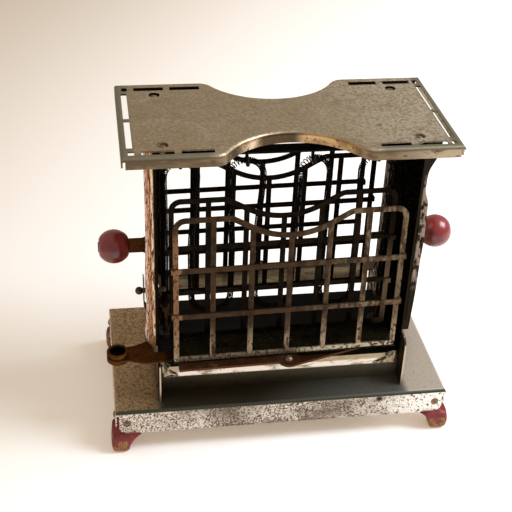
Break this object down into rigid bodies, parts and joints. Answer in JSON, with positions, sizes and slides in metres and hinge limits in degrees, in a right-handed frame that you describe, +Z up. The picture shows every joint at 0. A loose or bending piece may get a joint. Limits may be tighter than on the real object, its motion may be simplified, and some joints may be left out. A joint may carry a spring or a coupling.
{
  "type": "drop side toaster",
  "caption": "Two-sided electric toaster: an open nickel housing with a hanging wire coil, and a barred bread basket on a swing arm at each side.",
  "frame": {"origin": "centre of the bounding box in plan, on the surface the feet stand on", "axes": "+Z up, +X to the right along the long side, +Y to the back; the pictured front basket faces -Y"},
  "size_m": [0.2098, 0.112, 0.1905],
  "materials": {
    "nickelled_steel": "worn and pitted nickel plate on pressed steel, satin",
    "rusted_cage_steel": "nickel-plated strip almost wholly gone to brown rust, matte",
    "tarnished_steel": "heat-tarnished brown steel, satin",
    "steel_fasteners": "domed steel rivet and screw heads, dull",
    "iron_wire": "blackened iron wire, matte",
    "resistance_wire": "oxidised resistance wire wound in a close coil, dark grey",
    "porcelain": "unglazed electrical porcelain, smoke-stained",
    "brass": "dull brass",
    "red_wood": "turned wood with red lacquer, semi-gloss",
    "foot_wood": "shaped wood with red lacquer worn through to the wood on the edges"
  },
  "bodies": {
    "housing": {"arm_brackets": "nickelled_steel", "arm_pins": "steel_fasteners", "base_plate": "nickelled_steel", "bottom_cover": "nickelled_steel", "bracket_foot_rivets": "steel_fasteners", "bus_strips": "brass", "carry_knob_left": "red_wood", "carry_knob_right": "red_wood", "catch_feet": "nickelled_steel", "coil_hooks": "iron_wire", "cover_screws": "steel_fasteners", "end_panel_left": "nickelled_steel", "end_panel_right": "nickelled_steel", "foot_front_left": "foot_wood", "foot_front_right": "foot_wood", "foot_rear_left": "foot_wood", "foot_rear_right": "foot_wood", "foot_screws": "steel_fasteners", "hanger_bar": "nickelled_steel", "heating_coil": "resistance_wire", "hook_beads": "porcelain", "inlet_block": "porcelain", "inlet_pins": "brass", "knob_bracket_left": "nickelled_steel", "knob_bracket_right": "nickelled_steel", "panel_rivets": "steel_fasteners", "plinth": "nickelled_steel", "terminal_bushes": "porcelain", "terminal_nuts": "brass", "terminal_posts": "brass", "top_plate": "nickelled_steel", "top_rivets": "steel_fasteners", "web_rivets": "steel_fasteners"},
    "front_arm": {"front_swing_arm": "nickelled_steel"},
    "front_basket": {"front_floor": "nickelled_steel", "front_pivot_band": "tarnished_steel", "front_pivot_washer": "steel_fasteners", "front_pivot_rivet": "steel_fasteners", "front_ferrule": "tarnished_steel", "front_outer_frame": "rusted_cage_steel", "front_inner_frame": "rusted_cage_steel", "front_outer_rails": "rusted_cage_steel", "front_inner_rails": "rusted_cage_steel", "front_uprights": "rusted_cage_steel"},
    "rear_arm": {"rear_swing_arm": "nickelled_steel"},
    "rear_basket": {"rear_floor": "nickelled_steel", "rear_pivot_band": "tarnished_steel", "rear_pivot_washer": "steel_fasteners", "rear_pivot_rivet": "steel_fasteners", "rear_ferrule": "tarnished_steel", "rear_outer_frame": "rusted_cage_steel", "rear_inner_frame": "rusted_cage_steel", "rear_outer_rails": "rusted_cage_steel", "rear_inner_rails": "rusted_cage_steel", "rear_uprights": "rusted_cage_steel", "rear_handle_knob": "red_wood"},
    "front_catch": {"front_catch_spring": "nickelled_steel", "front_catch_pin": "steel_fasteners"},
    "rear_catch": {"rear_catch_spring": "nickelled_steel", "rear_catch_pin": "steel_fasteners"}
  },
  "joints": [
    {"name": "front_arm_swing", "type": "hinge", "parent": "housing", "child": "front_arm", "pos_m": [0.064, -0.031, 0.056], "axis": [0, 0, 1], "range_deg": [0, 90]},
    {"name": "front_basket_turn", "type": "hinge", "parent": "front_arm", "child": "front_basket", "pos_m": [0.0014, -0.0497, 0.056], "axis": [0, 0, 1], "range_deg": [0, 90]},
    {"name": "rear_arm_swing", "type": "hinge", "parent": "housing", "child": "rear_arm", "pos_m": [-0.064, 0.031, 0.056], "axis": [0, 0, 1], "range_deg": [0, 90]},
    {"name": "rear_basket_turn", "type": "hinge", "parent": "rear_arm", "child": "rear_basket", "pos_m": [-0.0014, 0.0497, 0.056], "axis": [0, 0, 1], "range_deg": [0, 90]},
    {"name": "front_catch_spring_back", "type": "hinge", "parent": "housing", "child": "front_catch", "pos_m": [-0.0737, -0.024, 0.076], "axis": [0, -1, 0], "range_deg": [0, 3], "stiffness_Nm_per_rad": 0.4},
    {"name": "rear_catch_spring_back", "type": "hinge", "parent": "housing", "child": "rear_catch", "pos_m": [0.0737, 0.024, 0.076], "axis": [0, 1, 0], "range_deg": [0, 3], "stiffness_Nm_per_rad": 0.4}
  ],
  "couplings": [
    {"joint": "front_basket_turn", "follows": "front_arm_swing", "ratio": 1},
    {"joint": "rear_basket_turn", "follows": "rear_arm_swing", "ratio": 1}
  ]
}
